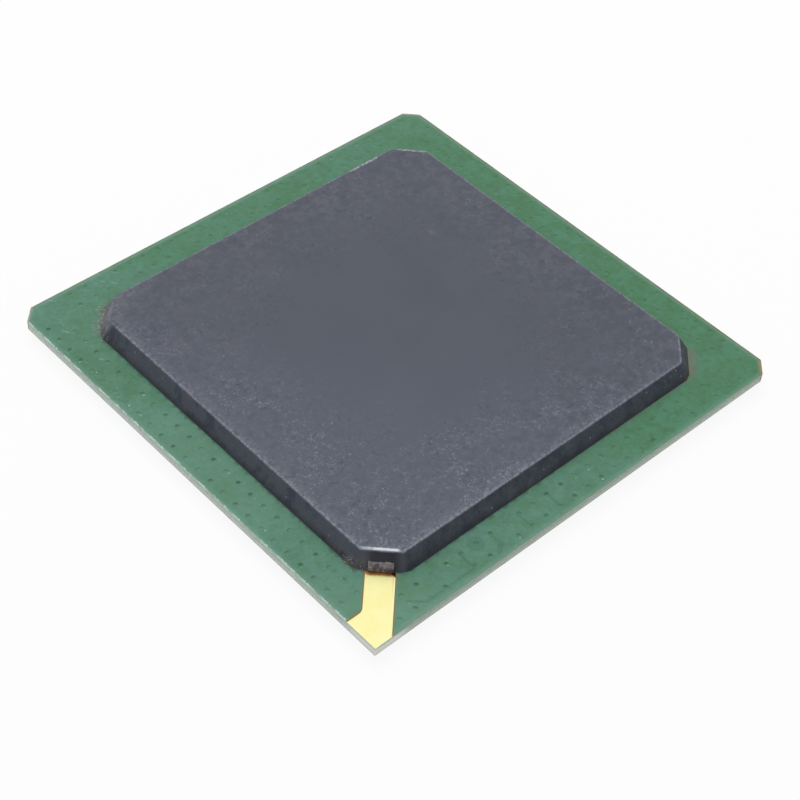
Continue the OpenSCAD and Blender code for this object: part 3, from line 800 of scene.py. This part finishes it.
def broken_stub():
    """Crust of torn resin where the runner was snapped off the cap."""
    rows, columns, sunk = 22, 48, 0.06
    outer, inner = [], []
    for row in range(rows + 1):
        up = row / rows
        along, height = stub_profile(up)
        for column in range(columns + 1):
            side = 2 * column / columns - 1
            spot = Vector((side * STUB_HALF, along, height))
            ragged = 0.03 * noise.noise(spot * 9)
            across = side * (STUB_HALF + ragged)
            tear = noise.fractal(spot * 7, 0.9, 2.1, 4)
            hem = min(1.0, (1 - abs(side)) * 9, up * 8, (1 - up) * 5)
            proud = (0.016 + 0.022 * max(tear, -0.6)) * hem - 0.01 * (1 - hem)
            rise = height + 0.025 * noise.noise(spot * 6 + Vector((3, 0, 0))) * up ** 4
            outer.append(gate_point(along + proud * 0.85, across, rise + proud * 0.5))
            inner.append(gate_point(along - sunk, across * 0.97, rise - sunk * 0.3 * up))
    count = columns + 1
    faces = []
    for row in range(rows):
        for column in range(columns):
            a = row * count + column
            quad = (a, a + 1, a + 1 + count, a + count)
            faces.append(quad)
            faces.append(tuple(i + len(outer) for i in reversed(quad)))
    rim = list(range(count))
    rim += [r * count + columns for r in range(1, rows + 1)]
    rim += [rows * count + c for c in range(columns - 1, -1, -1)]
    rim += [r * count for r in range(rows - 1, 0, -1)]
    for a, b in zip(rim, rim[1:] + rim[:1]):
        faces.append((b, a, a + len(outer), b + len(outer)))
    mesh = bpy.data.meshes.new("broken_stub")
    mesh.from_pydata(outer + inner, [], faces)
    shell = bmesh.new()
    shell.from_mesh(mesh)
    bmesh.ops.recalc_face_normals(shell, faces=shell.faces)
    shell.to_mesh(mesh)
    shell.free()
    add_piece("broken_stub", mesh, torn_resin(), smooth=True)


def grain_bed(stretches, spread, climb, ease):
    """Strips along the cap's foot, out over the mask and up its side, for grains to lie on."""
    mesh = bpy.data.meshes.new("grain_bed")
    corners, faces = [], []
    for start, end in stretches:
        start, end = Vector((*start, BOARD_TOP)), Vector((*end, BOARD_TOP))
        run = (end - start).normalized()
        out = Vector((run.y, -run.x, 0))
        if out.dot(start + end) < 0:
            out = -out
        up = Vector((0, 0, climb)) - out * climb * CAP_SLOPE
        lifted_start, lifted_end = start + run * ease, end - run * ease
        for strip in (
            (start, end, end + out * spread, start + out * spread),
            (lifted_start, lifted_end, lifted_end + up, lifted_start + up),
        ):
            faces.append(tuple(range(len(corners), len(corners) + 4)))
            corners.extend(corner * MM for corner in strip)
    mesh.from_pydata(corners, [], faces)
    bed = bpy.data.objects.new("grain_bed", mesh)
    bpy.context.scene.collection.objects.link(bed)
    return bed


def grain_tree(finish):
    """Geometry Nodes that scatter rough grains over whatever surface they are given."""
    tree = bpy.data.node_groups.new("scattered_grains", "GeometryNodeTree")
    for name, kind in (
        ("Surface", "NodeSocketGeometry"), ("Grains per Square Metre", "NodeSocketFloat"),
        ("Smallest", "NodeSocketVector"), ("Largest", "NodeSocketVector"),
        ("Seed", "NodeSocketInt"),
    ):
        tree.interface.new_socket(name=name, in_out="INPUT", socket_type=kind)
    tree.interface.new_socket(name="Grains", in_out="OUTPUT", socket_type="NodeSocketGeometry")

    def node(kind, settings=None, **sockets):
        made = tree.nodes.new(kind)
        for name, value in (settings or {}).items():
            setattr(made, name, value)
        for name, value in sockets.items():
            socket = made.inputs[name.replace("_", " ")]
            if isinstance(value, bpy.types.NodeSocket):
                tree.links.new(value, socket)
            else:
                socket.default_value = value
        return made

    given = node("NodeGroupInput").outputs
    points = node(
        "GeometryNodeDistributePointsOnFaces", Mesh=given["Surface"],
        Density=given["Grains per Square Metre"], Seed=given["Seed"],
    )
    grain = node("GeometryNodeMeshIcoSphere", Radius=1.0, Subdivisions=1)
    size = node(
        "FunctionNodeRandomValue", {"data_type": "FLOAT_VECTOR"},
        Min=given["Smallest"], Max=given["Largest"], Seed=given["Seed"],
    )
    turn = node(
        "FunctionNodeRandomValue", {"data_type": "FLOAT_VECTOR"},
        Min=(0.0, 0.0, 0.0), Max=(math.tau, math.tau, math.tau), Seed=given["Seed"],
    )
    laid = node(
        "GeometryNodeInstanceOnPoints", Points=points.outputs["Points"],
        Instance=grain.outputs["Mesh"], Rotation=turn.outputs["Value"],
        Scale=size.outputs["Value"],
    )
    real = node("GeometryNodeRealizeInstances", Geometry=laid.outputs["Instances"])
    dressed = node("GeometryNodeSetMaterial", Geometry=real.outputs["Geometry"], Material=finish)
    node("NodeGroupOutput", Grains=dressed.outputs["Geometry"])
    return tree


def resin_grains():
    """Loose grains of resin at the foot of the cap: round its left corner and beside the gate."""
    left, cut = -CAP_FOOT_HALF, CAP_FOOT_HALF - CAP_CUT
    past_corner, past_gate = 0.9, 1.2
    stub_side = gate_point(CAP_FOOT_DIAGONAL, -STUB_HALF, 0) / MM
    bed = grain_bed(
        [
            ((left, cut - past_corner), (left, cut)),
            ((left, cut), (-cut, -left)),
            ((-cut, -left), (past_corner - cut, -left)),
            ((left, past_gate - cut), (left, -cut)),
            ((left, -cut), (stub_side.x, stub_side.y)),
        ],
        spread=0.16, climb=0.3, ease=0.24,
    )
    finish = resin_grit()
    tree = grain_tree(finish)
    modifier = bed.modifiers.new("grains", "NODES")
    modifier.node_group = tree
    for name, value in (
        ("Grains per Square Metre", 170 / MM ** 2), ("Smallest", (0.008 * MM,) * 3),
        ("Largest", (0.034 * MM,) * 3), ("Seed", 7),
    ):
        modifier[tree.interface.items_tree[name].identifier] = value
    ready = bed.evaluated_get(bpy.context.evaluated_depsgraph_get())
    mesh = bpy.data.meshes.new_from_object(ready)
    mesh.name = "resin_grains"
    bpy.data.objects.remove(bed)
    add_piece("resin_grains", mesh, finish)


broken_stub()
resin_grains()


# ---------- floor, light and camera ----------

def lit_background(tree, plain, white, share):
    """Mixes a plain shader with white where the eye, a gloss or a clear body looks at it."""
    path = tree.nodes.new("ShaderNodeLightPath")
    seen = path.outputs["Is Camera Ray"]
    for other in ("Is Glossy Ray", "Is Transmission Ray"):
        either = tree.nodes.new("ShaderNodeMath")
        either.operation = "MAXIMUM"
        tree.links.new(seen, either.inputs[0])
        tree.links.new(path.outputs[other], either.inputs[1])
        seen = either.outputs[0]
    part = tree.nodes.new("ShaderNodeMath")
    part.operation = "MULTIPLY"
    part.inputs[1].default_value = share
    tree.links.new(seen, part.inputs[0])
    both = tree.nodes.new("ShaderNodeMixShader")
    tree.links.new(part.outputs[0], both.inputs[0])
    tree.links.new(plain.outputs[0], both.inputs[1])
    tree.links.new(white.outputs[0], both.inputs[2])
    return both


def floor():
    reach = 1.5
    corners = [(-reach, -reach, 0), (reach, -reach, 0), (reach, reach, 0), (-reach, reach, 0)]
    mesh = bpy.data.meshes.new("floor")
    mesh.from_pydata(corners, [], [(0, 1, 2, 3)])
    plane = bpy.data.objects.new("floor", mesh)
    bpy.context.scene.collection.objects.link(plane)
    material = bpy.data.materials.new("pale_floor")
    material.use_nodes = True
    tree = material.node_tree
    tree.nodes.clear()
    matt = tree.nodes.new("ShaderNodeBsdfDiffuse")
    matt.inputs["Color"].default_value = (0.94, 0.94, 0.94, 1)
    white = tree.nodes.new("ShaderNodeEmission")
    both = lit_background(tree, matt, white, share=0.91)
    output = tree.nodes.new("ShaderNodeOutputMaterial")
    tree.links.new(both.outputs[0], output.inputs["Surface"])
    plane.data.materials.append(material)


def sky(strength):
    world = bpy.data.worlds.new("studio")
    bpy.context.scene.world = world
    world.use_nodes = True
    tree = world.node_tree
    tree.nodes.clear()
    dim = tree.nodes.new("ShaderNodeBackground")
    dim.inputs["Color"].default_value = (1, 1, 1, 1)
    dim.inputs["Strength"].default_value = strength
    white = tree.nodes.new("ShaderNodeBackground")
    white.inputs["Color"].default_value = (1, 1, 1, 1)
    both = lit_background(tree, dim, white, share=1.0)
    output = tree.nodes.new("ShaderNodeOutputWorld")
    tree.links.new(both.outputs[0], output.inputs["Surface"])


def direction(azimuth, elevation):
    """Unit vector to where the package is looked at or lit from, by angles in radians."""
    return Vector((
        math.sin(azimuth) * math.cos(elevation), -math.cos(azimuth) * math.cos(elevation),
        math.sin(elevation),
    ))


def softbox(name, azimuth, elevation, away, size, level):
    """A square lamp that lights the package to level times white where it faces it."""
    data = bpy.data.lights.new(name, "AREA")
    data.size = size
    data.energy = level * (math.pi * away) ** 2
    lamp = bpy.data.objects.new(name, data)
    lamp.visible_glossy = False
    bpy.context.scene.collection.objects.link(lamp)
    towards = direction(math.radians(azimuth), math.radians(elevation))
    lamp.location = towards * away
    lamp.rotation_mode = "QUATERNION"
    lamp.rotation_quaternion = towards.to_track_quat("Z", "Y")


def camera():
    """Looks down on the gate corner, turned a little on its axis.

    seen_at is where the middle of the board's top lies from the camera, in the camera's axes.
    """
    azimuth, elevation, roll = (math.radians(degrees) for degrees in (-45.72, 46.45, -4.60))
    back = direction(azimuth, elevation)
    right = Vector((math.cos(azimuth), math.sin(azimuth), 0))
    up = back.cross(right)
    turn = Matrix((right, up, back)).transposed() @ Matrix.Rotation(roll, 3, "Z").transposed()
    seen_at = Vector((-0.215, 3.23, -100.3)) * MM
    data = bpy.data.cameras.new("camera")
    data.sensor_width = 36
    data.lens = 83.0
    data.clip_start, data.clip_end = 0.005, 10
    eye = bpy.data.objects.new("camera", data)
    bpy.context.scene.collection.objects.link(eye)
    place = Vector((0, 0, BOARD_TOP * MM)) - turn @ seen_at
    eye.matrix_world = Matrix.Translation(place) @ turn.to_4x4()
    bpy.context.scene.camera = eye


floor()
sky(0.5)
softbox("key", azimuth=150, elevation=62, away=0.4, size=0.3, level=0.55)
camera()
bpy.context.scene.view_settings.view_transform = "Standard"
